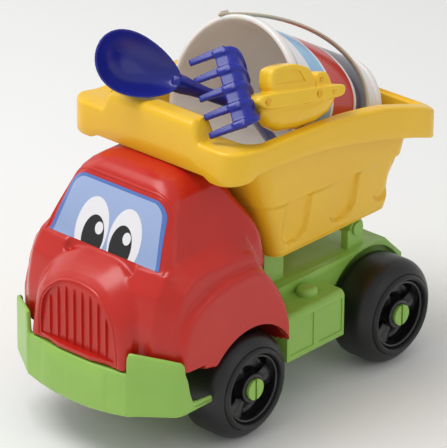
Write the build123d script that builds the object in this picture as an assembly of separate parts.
from build123d import *
import os
from math import atan2, cos, degrees, hypot, radians, sin

os.makedirs("parts", exist_ok=True)

# A sand truck with a tipping bed, loaded with a bucket, a shovel, a rake and a sand mould.
# Millimetres. The front faces -Y, +X is the truck's left side, and z = 0 is the ground.
# y is counted from halfway between the axles; every piece is moved by frame_y when it is written.

# overall sizes
wheelbase = 200.0
body_width = 209.0
wheel_d = 100.0
wheel_w = 50.0
wall = 3.0
gap = 0.3
fit = 0.05

# wheels and axles
bore_part = 0.65
lip_w = 4.5
lip_h = 1.5
hub_ring = 3.0
hub_depth = 44.0
web_at = 17.0
spoke_w = 9.0
spoke_d = 14.0
collar_wall = 5.0
journal_r = 9.0
axle_r = 6.0
flange_r = 11.5
slot_w = 2.4
slot_depth = 16.0
barb = 0.8

# chassis
deck_over_tyre = 6.0
deck_out = 5.5
beam_in = 4.5
beam_under = 6.0
flange_drop = 18.0
nose_room = 14.0
rear_slope = 25.0
rear_drop = 24.0
arch_gap = 4.0
bed_lift = 35.0
saddle_t = 8.0
saddle_in = 9.0
saddle_half = 16.0
throat_nip = 0.7
post_in = 8.0
post_w = 10.0
post_len = 26.0
post_back = 8.0
step_in = 14.5
step_front = 6.5
step_back = 16.0
step_round = 6.0
step_drop = 11.0
peg_r = 10.0
peg_h = 8.0
peg_shank_r = 4.0
peg_off = 10.0

# hinge of the bed
hinge_back = 6.0
hinge_up = 18.0
ear_t = 8.0
ear_over = 2.0
ear_r = 9.0
lug_t = 8.0
pin_r = 4.0
pin_head = 2.5

# bed
bed_short = 41.5
bed_over = 23.5
bed_in = 32.0
bed_top_in = 8.0
bed_front_lean = 65.0
bed_rear_lean = 28.0
tub_top = 144.0
rim_in = 4.5
rim_front = 27.0
rim_rear = 32.5
rim_top_front = 136.0
rim_low_front = 116.0
rim_top_rear = 96.0
rim_low_rear = 68.5
rim_corner = 22.0
bar_in = 48.0
bar_up = 19.0
bar_t = 26.0
flute_w = 34.0
flute_depth = 1.4
flute_count = 3

# cab
cab_in = 6.5
cab_rise = 16.0
nose_drop = 10.0
arch_room = 9.0
hood_rise = 62.0
belt_rise = 72.0
roof_rise = 144.0
glass_lean = 24.0
glass_h = 58.0
glass_in_low = 32.0
glass_in_top = 43.4
glass_base = 84.0
glass_frame = 8.0
cab_back = 54.0
cab_round = 8.0
nose_in = 41.0
nose_front = 120.0
label_t = 0.4
boss_r = 5.0
screw_r = 1.5
screw_head_r = 3.6
screw_grip = 20.0
screw_in = 2.4

# bumper
bumper_drop = 12.0
bumper_front = 126.0
wing_rise = 8.0
bumper_end = 52.0
bumper_wall = 4.0

# sand toys
bucket_room = 12.7
bucket_taper = 32.3
bucket_short = 14.5
bucket_wall = 2.2
bucket_rim = 3.0
bucket_rim_h = 8.0
bucket_tilt = 17.0
bucket_turn = 6.4
bucket_x = -2.0
bucket_back = 17.0
bucket_over = 122.6
label_from = 16.0
label_to = 122.0
bail_turn = 118.0
bail_swing = 60.5
bail_clear = 6.4
bail_w = 8.0
bail_t = 2.2
bail_pin_r = 3.0
shovel_len = 90.0
shovel_half = 27.0
shovel_depth = 19.0
shovel_wall = 2.2
handle_r = 6.5
shovel_handle = 122.0
rake_count = 5
rake_pitch = 18.0
rake_tine = 34.0
rake_tine_w = 6.0
rake_tine_t = 4.5
rake_palm = 55.0
rake_palm_t = 3.0
rake_handle = 100.0
boat_len = 110.0
boat_depth = 18.0
boat_wall = 2.0
boat_in = 6.3
shovel_in = 86.7
rake_in = 15.5
boat_back = 10.0
boat_over = 28.5

# places that follow from those sizes
axle_y = wheelbase / 2
axle_z = wheel_d / 2
outer_x = body_width / 2
inner_x = outer_x - wheel_w
tyre_bore_r = bore_part * wheel_d / 2
lip_r = tyre_bore_r + lip_w
tyre_shoulder = wheel_d / 2 - lip_r
hub_bore_r = journal_r + fit
deck_z = wheel_d + deck_over_tyre
deck_half = inner_x + deck_out
beam_half = inner_x - beam_in
beam_low = axle_z - beam_under
flange_low = deck_z - flange_drop
step_out = outer_x - step_in
step_low = axle_z
post_x = beam_half - post_in
ear_out = beam_half + ear_over
bed_z = deck_z + bed_lift
bed_len = wheelbase - bed_short
rim_half = outer_x - rim_in
bed_half = rim_half - bed_in
tub_top_half = rim_half - bed_top_in
bar_half = rim_half - bar_in
cab_half = outer_x - cab_in
cab_bottom = axle_z + cab_rise
nose_bottom = deck_z - nose_drop
arch_r = wheel_d / 2 + arch_room
hood_top = deck_z + hood_rise
belt_z = deck_z + belt_rise
roof_z = deck_z + roof_rise
glass_half_low = cab_half - glass_in_low
glass_half_top = cab_half - glass_in_top
nose_half = cab_half - nose_in
bumper_top = deck_z - bumper_drop
bumper_low = axle_z
wing_top = deck_z + wing_rise
bucket_r = tub_top_half - bucket_room
bucket_base_r = bucket_r - bucket_taper
bucket_len = bed_len - bucket_short
bail_lean = radians(bail_swing)
bail_len = bucket_r / (cos(bail_lean) + bucket_taper / bucket_len * sin(bail_lean)) + bail_clear
chassis_front = -axle_y - nose_front + nose_room
chassis_rear = axle_y + rear_slope
hinge_y = axle_y - hinge_back
hinge_z = deck_z + hinge_up
bed_rear = axle_y + bed_over
bed_front = bed_rear - bed_len
step_y0 = -axle_y + wheel_d / 2 + step_front
step_y1 = axle_y - wheel_d / 2 - step_back
rim_y0 = bed_front - bed_front_lean - rim_front
rim_y1 = bed_rear + rim_rear
front_y = -axle_y - bumper_front
frame_y = -(front_y + rim_y1) / 2


def yz_face(points):
    """Closed outline given as (y, z) points, on the plane x = 0."""
    return Plane.YZ * make_face(Polyline(*points, close=True))


def xz_face(points, y):
    """Closed outline given as (x, z) points, on the plane at y, facing the front."""
    plane = Plane((0, y, 0), x_dir=(1, 0, 0), z_dir=(0, -1, 0))
    return plane * make_face(Polyline(*points, close=True))


def grown(points, grow):
    """The outline with every side moved out by grow, or in where grow is negative."""
    count = len(points)
    pairs = [(points[i], points[(i + 1) % count]) for i in range(count)]
    turn = 1 if sum(a[0] * b[1] - b[0] * a[1] for a, b in pairs) > 0 else -1
    moved = []
    for i in range(count):
        (ax, ay), (bx, by) = pairs[i - 1]
        (cx, cy), (dx, dy) = pairs[i]
        before = Vector(bx - ax, by - ay).normalized()
        after = Vector(dx - cx, dy - cy).normalized()
        normal_a = Vector(before.Y, -before.X) * turn
        normal_b = Vector(after.Y, -after.X) * turn
        corner = (normal_a + normal_b) * (grow / (1 + normal_a.dot(normal_b)))
        moved.append((bx + corner.X, by + corner.Y))
    return moved


def grown_face(points, grow, r, chosen):
    """Grown outline as a face, with the chosen corners rounded."""
    face = make_face(Polyline(*grown(points, grow), close=True))
    return rounded(face, r + grow, chosen)


def block(x0, x1, y0, y1, z0, z1):
    """A box between two corners."""
    size = Box(x1 - x0, y1 - y0, z1 - z0, align=(Align.MIN, Align.MIN, Align.MIN))
    return Pos(x0, y0, z0) * size


def bar_x(x0, x1, y, z, r):
    """A round bar along X."""
    return Pos(x0, y, z) * Rot(0, 90, 0) * Cylinder(r, x1 - x0, align=(Align.CENTER, Align.CENTER, Align.MIN))


def both(shape):
    """The shape and its mirror image on the truck's other side."""
    return shape + mirror(shape, about=Plane.YZ)


def rounded(face, r, chosen=None):
    """The face with its corners rounded, or only the corners that chosen(vertex) picks."""
    corners = [v for v in face.vertices() if chosen is None or chosen(v)]
    return fillet(corners, r)


# ---------------------------------------------------------------- wheels and axles


def tyre():
    """Blow-moulded tyre: wide tread with round shoulders, and a raised lip round its opening."""
    body_w = wheel_w - lip_h
    points = [(0, tyre_bore_r), (0, wheel_d / 2), (body_w, wheel_d / 2), (body_w, lip_r)]
    points += [(wheel_w, lip_r), (wheel_w, tyre_bore_r)]
    face = make_face(Polyline(*points, close=True))
    face = fillet([v for v in face.vertices() if abs(v.Y - wheel_d / 2) < 0.01], tyre_shoulder)
    return revolve(face, Axis.X, 360)


def hub():
    """Three-spoke insert, pressed into the tyre, with a long collar that runs on the axle."""
    collar_r = hub_bore_r + collar_wall
    side = (wheel_w - hub_depth) / 2
    ring = bar_x(side, side + hub_depth, 0, 0, tyre_bore_r) - bar_x(side, side + hub_depth, 0, 0, tyre_bore_r - hub_ring)
    web = bar_x(side + web_at, side + web_at + wall, 0, 0, tyre_bore_r - hub_ring / 2)
    body = ring + web + bar_x(0, side + hub_depth, 0, 0, collar_r)
    reach = tyre_bore_r - hub_ring / 2
    for turn in (0, 120, 240):
        spoke = block(side + web_at, side + web_at + spoke_d, -spoke_w / 2, spoke_w / 2, 0, reach)
        body += Rot(turn, 0, 0) * spoke
    return body - bar_x(-1, wheel_w + 1, 0, 0, hub_bore_r)


def axle():
    """One-piece axle: thin middle, a flange inside each wheel, and slotted snap ends."""
    half = inner_x + (wheel_w + hub_depth) / 2
    shape = bar_x(-inner_x, inner_x, 0, 0, axle_r)
    for side in (-1, 1):
        start = inner_x - gap - (inner_x - beam_half) / 2
        flange = bar_x(start, inner_x - gap, 0, 0, flange_r)
        journal = bar_x(inner_x - gap - 1, half + gap, 0, 0, journal_r)
        cap = bar_x(half + gap, half + gap + 2, 0, 0, journal_r + barb)
        end = half + gap + 2
        slot = block(end - slot_depth, end + 1, -slot_w / 2, slot_w / 2, -journal_r - 2, journal_r + 2)
        piece = flange + journal + cap - slot
        shape += piece if side > 0 else mirror(piece, about=Plane.YZ)
    return shape


# ---------------------------------------------------------------- chassis


def step_hollow():
    """Space inside the side steps, open below."""
    return block(beam_half + wall, step_out - wall, step_y0 + wall, step_y1 - wall,
                 step_low - 1, deck_z - step_drop - wall)


def chassis():
    """Deck, side beams, steps, axle saddles, bed posts and hinge ears in one moulding."""
    rear_y = chassis_rear + rear_slope
    rear_z = deck_z - rear_drop
    side = [(chassis_front, beam_low), (chassis_front, deck_z), (chassis_rear, deck_z)]
    side += [(rear_y, rear_z), (rear_y, beam_low)]
    beam = extrude(yz_face(side), beam_half, both=True)
    top = [(-axle_y + cab_back - gap, flange_low), (-axle_y + cab_back - gap, deck_z), (chassis_rear, deck_z)]
    top += [(rear_y, rear_z), (rear_y, flange_low - 12)]
    flange = extrude(yz_face(top), deck_half, both=True)
    for y in (-axle_y, axle_y):
        tunnel = bar_x(beam_half, deck_half + 1, y, axle_z, wheel_d / 2 + arch_gap)
        flange -= both(tunnel)
    step = block(beam_half - 1, step_out, step_y0, step_y1, step_low, deck_z - step_drop)
    step = fillet(step.edges().filter_by(Axis.Y).group_by(Axis.Z)[-1].sort_by(Axis.X)[-1:], step_round)
    body = beam + flange + both(step)
    inner = [(chassis_front + wall, beam_low - 1), (chassis_front + wall, deck_z - wall)]
    inner += [(chassis_rear - 1, deck_z - wall), (rear_y - wall, rear_z - wall), (rear_y - wall, beam_low - 1)]
    body -= extrude(yz_face(inner), beam_half - wall, both=True)
    body -= both(step_hollow())
    for y in (-axle_y, axle_y):
        for x in (-1, 1):
            rib = block(-saddle_t / 2, saddle_t / 2, y - saddle_half, y + saddle_half, beam_low, deck_z - wall / 2)
            body += Pos(x * (beam_half - wall - saddle_in), 0, 0) * rib
        body -= bar_x(-beam_half - 1, beam_half + 1, y, axle_z, axle_r + gap)
        throat = axle_r - throat_nip
        body -= block(-beam_half - 1, beam_half + 1, y - throat, y + throat, beam_low - 1, axle_z)
    post = block(post_x - post_w / 2, post_x + post_w / 2, -post_len, 0, deck_z - 1, bed_z - gap)
    ear = block(ear_out - ear_t, ear_out, hinge_y - ear_r - 3, hinge_y + ear_r, deck_z - 1, hinge_z)
    ear += bar_x(ear_out - ear_t, ear_out, hinge_y, hinge_z, ear_r)
    body += both(Pos(0, bed_front + post_back + post_len, 0) * post)
    body += both(ear)
    body -= both(bar_x(ear_out - ear_t - 1, ear_out + 1, hinge_y, hinge_z, pin_r + fit))
    body -= both(Pos(step_peg_x(), step_peg_y(), 0) * Cylinder(peg_shank_r + fit, 400))
    for x, y in screw_places():
        body -= Pos(x, y, deck_z) * Cylinder(screw_r + 0.5, 20)
    return body


def step_peg_x():
    """How far out the pegs stand."""
    return (beam_half + step_out) / 2


def step_peg_y():
    """Where along the steps the pegs stand."""
    return (step_y0 + step_y1) / 2 + peg_off


def step_pegs():
    """Domed pegs pressed into the side steps."""
    top = deck_z - step_drop
    head = Pos(0, 0, top) * Cylinder(peg_r, peg_h, align=(Align.CENTER, Align.CENTER, Align.MIN))
    head = fillet(head.edges().group_by(Axis.Z)[-1], peg_h * 0.7)
    shank = Pos(0, 0, top + 1) * Cylinder(peg_shank_r, wall + 5, align=(Align.CENTER, Align.CENTER, Align.MAX))
    peg = Pos(step_peg_x(), step_peg_y(), 0) * (head + shank)
    return [peg, mirror(peg, about=Plane.YZ)]


def hinge_pins():
    """Headed snap pins through the ears and the bed's lugs."""
    inner = ear_out - ear_t - gap * 2 - lug_t
    shank = bar_x(inner - 3, ear_out + 1, hinge_y, hinge_z, pin_r)
    head = bar_x(ear_out, ear_out + pin_head, hinge_y, hinge_z, pin_r + pin_head)
    snap = bar_x(inner - 3, inner - gap, hinge_y, hinge_z, pin_r + 0.7)
    pin = shank + head + snap
    pin -= block(inner - 4, inner + 4, hinge_y - 0.7, hinge_y + 0.7, hinge_z - 9, hinge_z + 9)
    return [pin, mirror(pin, about=Plane.YZ)]


# ---------------------------------------------------------------- front bumper


def bumper_plan(grow):
    """Plan outline of the bumper, moved in by -grow."""
    y0 = front_y - grow
    half = outer_x - 4.5 + grow
    mid = nose_half + 3
    line = ThreePointArc((-mid, y0 + 6.5), (0, y0), (mid, y0 + 6.5))
    line += Polyline((mid, y0 + 6.5), (half - 4, y0 + 29), (half, y0 + 34), (half, -axle_y - bumper_end))
    line += Polyline((half, -axle_y - bumper_end), (-half, -axle_y - bumper_end), (-half, y0 + 34))
    line += Polyline((-half, y0 + 34), (-half + 4, y0 + 29), (-mid, y0 + 6.5))
    return make_face(line)


def front_bumper():
    """Wrap-round bumper: a low middle under the nose and two tall corner wings."""
    outer = extrude(Pos(0, 0, bumper_low) * bumper_plan(0), wing_top - bumper_low)
    inner = Pos(0, 0, bumper_low + wall) * extrude(bumper_plan(-bumper_wall), wing_top)
    shell = outer - inner
    shell -= block(-nose_half - 4, nose_half + 4, front_y - 1, -axle_y, bumper_top, wing_top + 1)
    end_y = -axle_y - bumper_end
    slope = [(front_y + 33, wing_top + 1), (end_y - 24, bumper_low + 15), (end_y + 1, bumper_low + 13)]
    slope += [(end_y + 1, wing_top + 1)]
    shell -= extrude(yz_face(slope), outer_x + 1, both=True)
    lid = extrude(Pos(0, 0, bumper_top - wall) * bumper_plan(-0.5), wall)
    shell += lid & block(-nose_half - 3, nose_half + 3, front_y, chassis_front, bumper_low, bumper_top)
    shell -= block(-beam_half - gap, beam_half + gap, chassis_front, -axle_y, bumper_low - 1, wing_top)
    for x in (-1, 1):
        well = bar_x(0, outer_x, -axle_y, axle_z, wheel_d / 2 + 2)
        shell -= well if x > 0 else mirror(well, about=Plane.YZ)
    return shell


# ---------------------------------------------------------------- cab


def arch_points(half, low, shoulder, top, count=10):
    """An arch: straight sides from low to shoulder, then half an ellipse up to top."""
    points = [(half, low)]
    for i in range(count + 1):
        turn = radians(180 * i / count)
        points.append((half * cos(turn), shoulder + (top - shoulder) * sin(turn)))
    return points + [(-half, low)]


def cab_form(grow):
    """Solid form of the cab: cabin, fenders with hood, and the nose, all grown by grow."""
    glass_y = -axle_y - glass_base
    top_y = glass_y + glass_lean
    back = -axle_y + cab_back
    side = [(glass_y, beam_low), (glass_y, belt_z), (top_y, belt_z + glass_h), (top_y + 18, roof_z)]
    side += [(-axle_y - 6, roof_z), (-axle_y + 8, roof_z - 20), (back, deck_z + 20), (back, beam_low)]
    low_half = glass_half_low + glass_frame
    top_half = glass_half_top + glass_frame / 2
    front = [(-low_half, beam_low), (-low_half, belt_z), (-top_half, belt_z + glass_h)]
    front += [(-top_half + 12, roof_z + 2), (top_half - 12, roof_z + 2), (top_half, belt_z + glass_h)]
    front += [(low_half, belt_z), (low_half, beam_low)]
    side_face = Plane.YZ * grown_face(side, grow, cab_round, lambda v: v.Y > belt_z + 5)
    front_face = grown_face(front, grow, cab_round, lambda v: v.Y > belt_z + 5)
    front_plane = Plane((0, -axle_y + 80, 0), x_dir=(1, 0, 0), z_dir=(0, -1, 0))
    cabin = extrude(side_face, outer_x, both=True) & extrude(front_plane * front_face, 260)
    low = [(-axle_y - 104, beam_low), (-axle_y - 102, deck_z + 22), (-axle_y - 88, deck_z + 42)]
    low += [(-axle_y - 56, deck_z + 55), (-axle_y - 20, hood_top), (-axle_y + 5, hood_top)]
    low += [(-axle_y + 26, deck_z + 44), (-axle_y + 42, deck_z + 16)]
    low += [(back - 0.5, nose_bottom), (back - 0.5, beam_low)]
    low_face = grown_face(low, grow, cab_round + 1, lambda v: v.Y > deck_z)
    fender = extrude(Plane.YZ * low_face, cab_half + grow, both=True)
    plan = [(-cab_half, back + 20), (-cab_half, -axle_y - 84), (-cab_half + 12, -axle_y - 98)]
    plan += [(-nose_half - 3, -axle_y - 110)]
    plan += [(-x, y) for x, y in reversed(plan)]
    plan_face = make_face(Polyline(*grown(plan, grow), close=True))
    fender = fender & extrude(plan_face, 300)
    nose_arch = arch_points(nose_half, beam_low, deck_z + 24, belt_z)
    nose_face = make_face(Polyline(*grown(nose_arch, grow), close=True))
    nose_plane = Plane((0, -axle_y - 60, 0), x_dir=(1, 0, 0), z_dir=(0, -1, 0))
    nose_side = [(-axle_y - 60, beam_low), (-axle_y - nose_front, beam_low), (-axle_y - nose_front, deck_z + 32)]
    nose_side += [(-axle_y - nose_front + 8, deck_z + 52), (-axle_y - 96, deck_z + 66)]
    nose_side += [(-axle_y - glass_base, belt_z + 1)]
    nose_side += [(-axle_y - 60, belt_z + 1)]
    nose = extrude(nose_plane * nose_face, 90)
    nose = nose & extrude(Plane.YZ * make_face(Polyline(*grown(nose_side, grow), close=True)), 90, both=True)
    return cabin + fender + nose


def screw_places():
    """Where the cab is screwed down: two screws behind the nose, two under the cabin's back."""
    return [(x, y) for x in (-beam_half + 14, beam_half - 14) for y in (-axle_y - 78, -axle_y + 30)]


def cab_shell():
    """Thin moulded cab, open below, with wheel arches and screw bosses."""
    outer = cab_form(0)
    shell = outer - cab_form(-wall)
    for x, y in screw_places():
        boss = Pos(x, y, deck_z) * Cylinder(boss_r, 200, align=(Align.CENTER, Align.CENTER, Align.MIN))
        shell += boss & outer
    shell -= block(-nose_half + 1, nose_half - 1, -axle_y - 140, -axle_y - 70, 0, nose_bottom)
    shell -= block(-deck_half - gap, deck_half + gap, -axle_y - 100, 0, 0, deck_z)
    shell -= block(-200, 200, -axle_y - 200, 0, 0, cab_bottom)
    shell -= block(-200, 200, -axle_y - 200, -axle_y - 70, 0, nose_bottom + 20)
    front_band = block(-nose_half, nose_half, -axle_y - nose_front - 10, -axle_y - 70, nose_bottom, deck_z + 34)
    shell += (outer - cab_form(-wall)) & front_band
    for side in (-1, 1):
        well = bar_x(inner_x - 2, outer_x, -axle_y, axle_z, arch_r)
        shell -= well if side > 0 else mirror(well, about=Plane.YZ)
    for x, y in screw_places():
        shell -= Pos(x, y, deck_z) * Cylinder(screw_r + fit, 2 * (screw_grip + 1))
    return shell


def cab_screws():
    """Four screws, driven up through the deck into the cab's bosses."""
    screws = []
    for x, y in screw_places():
        under = deck_z - wall
        head = Pos(x, y, under) * Cylinder(screw_head_r, screw_in, align=(Align.CENTER, Align.CENTER, Align.MAX))
        shank = Pos(x, y, under - 1) * Cylinder(screw_r, screw_grip, align=(Align.CENTER, Align.CENTER, Align.MIN))
        slot = Pos(x, y, under - screw_in) * Box(0.9, 3 * screw_head_r, 1.6)
        screws.append(head + shank - slot)
    return screws


def windscreen_label():
    """Printed plastic film on the sloping windscreen."""
    lean = atan2(glass_lean, glass_h)
    up = (0, sin(lean), cos(lean))
    base = (0, -axle_y - glass_base, belt_z)
    plane = Plane(base, x_dir=(1, 0, 0), z_dir=(0, -cos(lean), sin(lean)))
    length = hypot(glass_lean, glass_h) - 1
    points = [(-glass_half_low, 3), (glass_half_low, 3), (glass_half_top, length), (-glass_half_top, length)]
    face = make_face(Polyline(*points, close=True))
    face = rounded(face, 14, lambda v: v.Y > 10)
    return extrude(plane * face, label_t)


# ---------------------------------------------------------------- bed


def tub_body(inset):
    """Leaning tub without its rim; inset makes the inside."""
    low = Pos(0, (bed_front + bed_rear) / 2, bed_z + inset) * Rectangle(2 * (bed_half - inset), bed_len - 2 * inset)
    y0 = bed_front - bed_front_lean + inset
    y1 = bed_rear + bed_rear_lean - inset
    top = Pos(0, (y0 + y1) / 2, bed_z + tub_top) * Rectangle(2 * (tub_top_half - inset), y1 - y0)
    low = rounded(low, 14 - inset)
    top = rounded(top, 22 - inset)
    return loft([low.face(), top.face()])


def rim_strip(rise_front, rise_rear, drop):
    """Everything below a smooth line that falls from the bed's front to its rear."""
    count = 8
    points = []
    for i in range(count + 1):
        t = i / count
        y = rim_y0 + (rim_y1 - rim_y0) * t
        points.append((y, bed_z + rise_front - (rise_front - rise_rear) * t ** 2.2 - drop))
    line = Spline(*points) + Polyline(points[-1], (rim_y1, bed_z - 60), (rim_y0, bed_z - 60), points[0])
    return extrude(Plane.YZ * make_face(line), rim_half + 20, both=True)


def rim_prism(inset):
    """Plan outline of the rim as a tall prism."""
    y0 = rim_y0 + inset
    y1 = rim_y1 - inset
    face = Pos(0, (y0 + y1) / 2, bed_z - 20) * Rectangle(2 * (rim_half - inset), y1 - y0)
    return extrude(rounded(face, rim_corner - inset), 220)


def flute_cuts():
    """Shallow round-ended channels down both sides of the tub."""
    lean = degrees(atan2(tub_top_half - bed_half, tub_top))
    cuts = None
    pitch = bed_len / flute_count
    for i in range(flute_count):
        y = bed_front + pitch * (i + 0.55)
        cut = extrude(SlotOverall(90, flute_w, rotation=90), flute_depth * 2)
        plane = Plane((bed_half, y, bed_z), x_dir=(0, 1, 0), z_dir=(1, 0, 0))
        cut = plane * Pos(0, 56, -flute_depth) * cut
        cut = cut.rotate(Axis((bed_half, y, bed_z), (0, 1, 0)), lean)
        cuts = cut if cuts is None else cuts + cut
    return both(cuts)


def bed_tub():
    """One-piece bed: leaning tub, hanging rim, raised bar at the front and hinge lugs below."""
    below_top = rim_strip(rim_top_front, rim_top_rear, 0)
    ledge = rim_prism(0) & (below_top - rim_strip(rim_low_front, rim_low_rear, 0))
    ledge -= rim_prism(wall) & rim_strip(rim_top_front, rim_top_rear, wall)
    bar = block(-bar_half, bar_half, rim_y0, rim_y0 + bar_t, bed_z + rim_top_front - 8,
                bed_z + rim_top_front + bar_up)
    bar = fillet(bar.edges().filter_by(Axis.X).group_by(Axis.Z)[-1], 7)
    hollow = block(-bar_half + wall, bar_half - wall, rim_y0 + wall, rim_y0 + bar_t - wall,
                   bed_z + rim_top_front - 12, bed_z + rim_top_front + bar_up - wall)
    body = tub_body(0) & below_top
    body -= flute_cuts()
    body += ledge + bar
    body -= hollow
    body -= tub_body(wall)
    lug_x = ear_out - ear_t - 2 * gap
    lug = block(lug_x - lug_t, lug_x, hinge_y - ear_r + 1, hinge_y + ear_r - 1, hinge_z, bed_z + 1)
    lug += bar_x(lug_x - lug_t, lug_x, hinge_y, hinge_z, ear_r - 1)
    body += both(lug)
    return body - both(bar_x(lug_x - lug_t - 1, lug_x + 1, hinge_y, hinge_z, pin_r + 2 * fit))


# ---------------------------------------------------------------- sand toys


def bucket_plane():
    """Centre of the bucket's mouth; z runs down the bucket, towards its bottom."""
    tilt = radians(bucket_tilt)
    turn = radians(bucket_turn)
    along = (sin(turn) * cos(tilt), cos(turn) * cos(tilt), -sin(tilt))
    side = (cos(turn), -sin(turn), 0)
    return Plane((bucket_x, bed_front + bucket_back, bed_z + bucket_over), x_dir=side, z_dir=along)


def by_mouth(x, y, z):
    """A point placed from the centre of the bucket's mouth."""
    return (bucket_x + x, bed_front + bucket_back + y, bed_z + bucket_over + z)


def cone_r(z, grow=0.0):
    """Radius of the bucket's outer wall at depth z."""
    return bucket_r + (bucket_base_r - bucket_r) * z / bucket_len + grow


def bucket():
    """Tapered bucket with a rolled rim, a foot ring and two pins for its handle."""
    outer = [(0, 0), (bucket_r + bucket_rim, 0), (bucket_r + bucket_rim, bucket_rim_h)]
    outer += [(cone_r(bucket_rim_h), bucket_rim_h), (cone_r(bucket_len - 8), bucket_len - 8)]
    outer += [(cone_r(bucket_len - 8) + 1.5, bucket_len - 8), (bucket_base_r + 1.5, bucket_len), (0, bucket_len)]
    inner = [(0, -1), (cone_r(0, -bucket_wall), -1), (cone_r(0, -bucket_wall), 0)]
    inner += [(cone_r(bucket_len - 8, -bucket_wall), bucket_len - 8), (0, bucket_len - 8)]
    solid = revolve(Plane.XZ * make_face(Polyline(*outer, close=True)), Axis.Z, 360)
    solid -= revolve(Plane.XZ * make_face(Polyline(*inner, close=True)), Axis.Z, 360)
    foot = Cylinder(bucket_base_r - 3, 12)
    solid -= Pos(0, 0, bucket_len + 6 - 5) * foot
    reach = bucket_r + bucket_rim + bail_t + 2
    pin = bar_x(cone_r(0, -1), reach, 0, 0, bail_pin_r) + bar_x(reach - 1, reach + 1.5, 0, 0, bail_pin_r + 1.2)
    pins = Pos(0, 0, bucket_rim_h / 2) * both(pin)
    solid += Rot(0, 0, -bail_turn) * pins
    return bucket_plane().location * solid


def bucket_label():
    """Printed film round the bucket's wall."""
    points = [(cone_r(label_from), label_from), (cone_r(label_from, label_t), label_from)]
    points += [(cone_r(label_to, label_t), label_to), (cone_r(label_to), label_to)]
    film = revolve(Plane.XZ * make_face(Polyline(*points, close=True)), Axis.Z, 360)
    return bucket_plane().location * film


def bucket_handle():
    """Strap handle that swings on the bucket's pins; it lies back against the wall."""
    half = bucket_r + bucket_rim + gap
    ring = Ellipse(half + bail_t, bail_len + bail_t) - Ellipse(half, bail_len)
    ring = ring & (Pos(0, bail_len) * Rectangle(4 * half, 2 * bail_len))
    strap = extrude(ring, bail_w / 2, both=True)
    eye = bar_x(half, half + bail_t, 0, 0, bail_w / 2 + 1.5)
    strap += both(eye)
    strap -= bar_x(-half - 9, half + 9, 0, 0, bail_pin_r + fit)
    strap = Rot(bail_swing, 0, 0) * strap
    return bucket_plane().location * Pos(0, 0, bucket_rim_h / 2) * Rot(0, 0, -bail_turn) * strap


def shovel_plane():
    """Middle of the shovel's neck; x runs along the handle, into the bucket."""
    return Plane(by_mouth(bucket_r - shovel_in, -60.7, 39.4), x_dir=(0.411, 0.787, -0.461), z_dir=(0.878, -0.206, 0.432))


def shovel_bowl(inset):
    """Half of an egg-shaped ball, open on top; inset makes the inside."""
    half_len = shovel_len / 2 - inset
    ball = scale(Sphere(1), by=(half_len, shovel_half - inset, shovel_depth - inset))
    return Pos(-shovel_len / 2, 0, shovel_depth * 0.35) * ball


def shovel():
    """Round scoop with a tapered handle."""
    bowl = shovel_bowl(0) - shovel_bowl(shovel_wall)
    bowl = bowl & block(-shovel_len, 1, -shovel_half, shovel_half, -shovel_depth, shovel_depth * 0.35)
    neck = Rot(0, 90, 0) * Cone(handle_r + 2, handle_r - 1, 26, align=(Align.CENTER, Align.CENTER, Align.MIN))
    grip = Rot(0, 90, 0) * Cylinder(handle_r - 1, shovel_handle, align=(Align.CENTER, Align.CENTER, Align.MIN))
    solid = bowl + (Pos(-5, 0, 0) * neck + grip - shovel_bowl(shovel_wall - 0.2))
    return shovel_plane().location * solid


def rake_plane():
    """Middle of the rake's head; x runs down the handle and y along the head."""
    return Plane(by_mouth(bucket_r - rake_in, -66.8, 60.9), x_dir=(-0.2545, 0.6766, -0.692), z_dir=(-0.687, -0.6285, -0.362))


def rake():
    """Rake: bent head plate, triangular palm, straight tines and a round handle."""
    half = rake_pitch * (rake_count - 1) / 2 + rake_tine_w / 2
    palm_points = [(0, -half), (0, half), (rake_palm, handle_r), (rake_palm, -handle_r)]
    solid = extrude(make_face(Polyline(*palm_points, close=True)), rake_palm_t)
    grip = Rot(0, 90, 0) * Cylinder(handle_r - 1, rake_handle, align=(Align.CENTER, Align.CENTER, Align.MIN))
    solid += Pos(rake_palm - 12, 0, rake_palm_t / 2) * grip
    for i in range(rake_count):
        y = (i - (rake_count - 1) / 2) * rake_pitch
        tine = extrude(RectangleRounded(rake_tine_t, rake_tine_w, 1.5), rake_tine)
        solid += Pos(rake_tine_t / 2, y, 0) * tine
    return rake_plane().location * solid


def boat_plane():
    """Middle of the mould's open back; x runs to the stern, y up, z out of the truck's side."""
    place = (bucket_x + bucket_r - boat_in, bed_front + boat_back, bed_z + rim_top_front + boat_over)
    return Plane(place, x_dir=(0.10, 0.98, -0.17), z_dir=(0.96, -0.05, 0.27))


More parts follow.
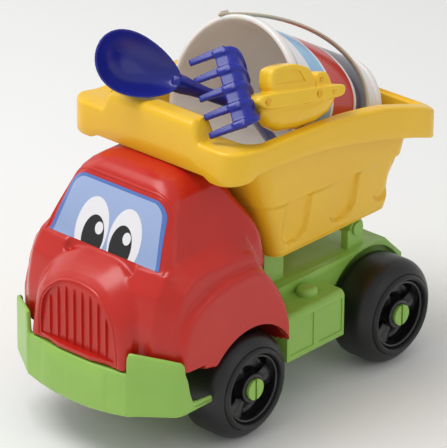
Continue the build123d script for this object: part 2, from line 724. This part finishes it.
def boat_relief(grow):
    """Half-relief of a generic boat: hull, gunwale band, cabin and a box on the stern."""
    half = boat_len / 2
    keel = [(-half + 11, -8), (-half + 28, -36), (half - 11, -25), (half - 5, -8)]
    shape = extrude(grown_face(keel, grow, 3, None), boat_depth * 0.45 + grow)
    band = [(-half, -7), (-half + 5, 0), (half - 2, 0), (half, -5), (half - 3, -12), (-half + 12, -15)]
    shape += extrude(grown_face(band, grow, 2.5, None), boat_depth + grow)
    cabin = [(-half + 19, -2), (-half + 22, 21), (-4, 23), (16, 17), (25, -2)]
    shape += extrude(grown_face(cabin, grow, 3, None), boat_depth * 0.75 + grow)
    locker = [(22, -2), (24, 12), (37, 12), (44, -2)]
    shape += extrude(grown_face(locker, grow, 3, None), boat_depth * 0.62 + grow)
    return shape


def boat_mould():
    """Sand mould: thin shell of the boat relief, open at its back."""
    solid = boat_relief(0) - boat_relief(-boat_wall)
    return boat_plane().location * solid


# ---------------------------------------------------------------- writing the pieces


def write(name, shape):
    """Move a piece into the truck's frame and write it."""
    solids = shape if isinstance(shape, list) else [shape]
    moved = [Pos(0, frame_y, 0) * solid for solid in solids]
    export_step(moved[0] if len(moved) == 1 else Compound(children=moved), "parts/" + name + ".step")


def wheel_place(piece, side, y):
    """Put a wheel piece, made with its inner face at x = 0, on its axle end."""
    placed = Pos(inner_x, y, axle_z) * piece
    return placed if side > 0 else mirror(placed, about=Plane.YZ)


write("chassis", chassis())
write("step_pegs", step_pegs())
write("bed_hinge_pins", hinge_pins())
write("front_bumper", front_bumper())
write("cab_shell", cab_shell())
write("cab_screws", cab_screws())
write("windscreen_label", windscreen_label())
write("bed_tub", bed_tub())
for place, axle_at in (("front", -axle_y), ("rear", axle_y)):
    write(place + "_axle", Pos(0, axle_at, axle_z) * axle())
    for hand, hand_side in (("left", 1), ("right", -1)):
        write("tyre_" + place + "_" + hand, wheel_place(tyre(), hand_side, axle_at))
        write("hub_" + place + "_" + hand, wheel_place(hub(), hand_side, axle_at))
write("bucket", bucket())
write("bucket_label", bucket_label())
write("bucket_handle", bucket_handle())
write("shovel", shovel())
write("rake", rake())
write("boat_mould", boat_mould())
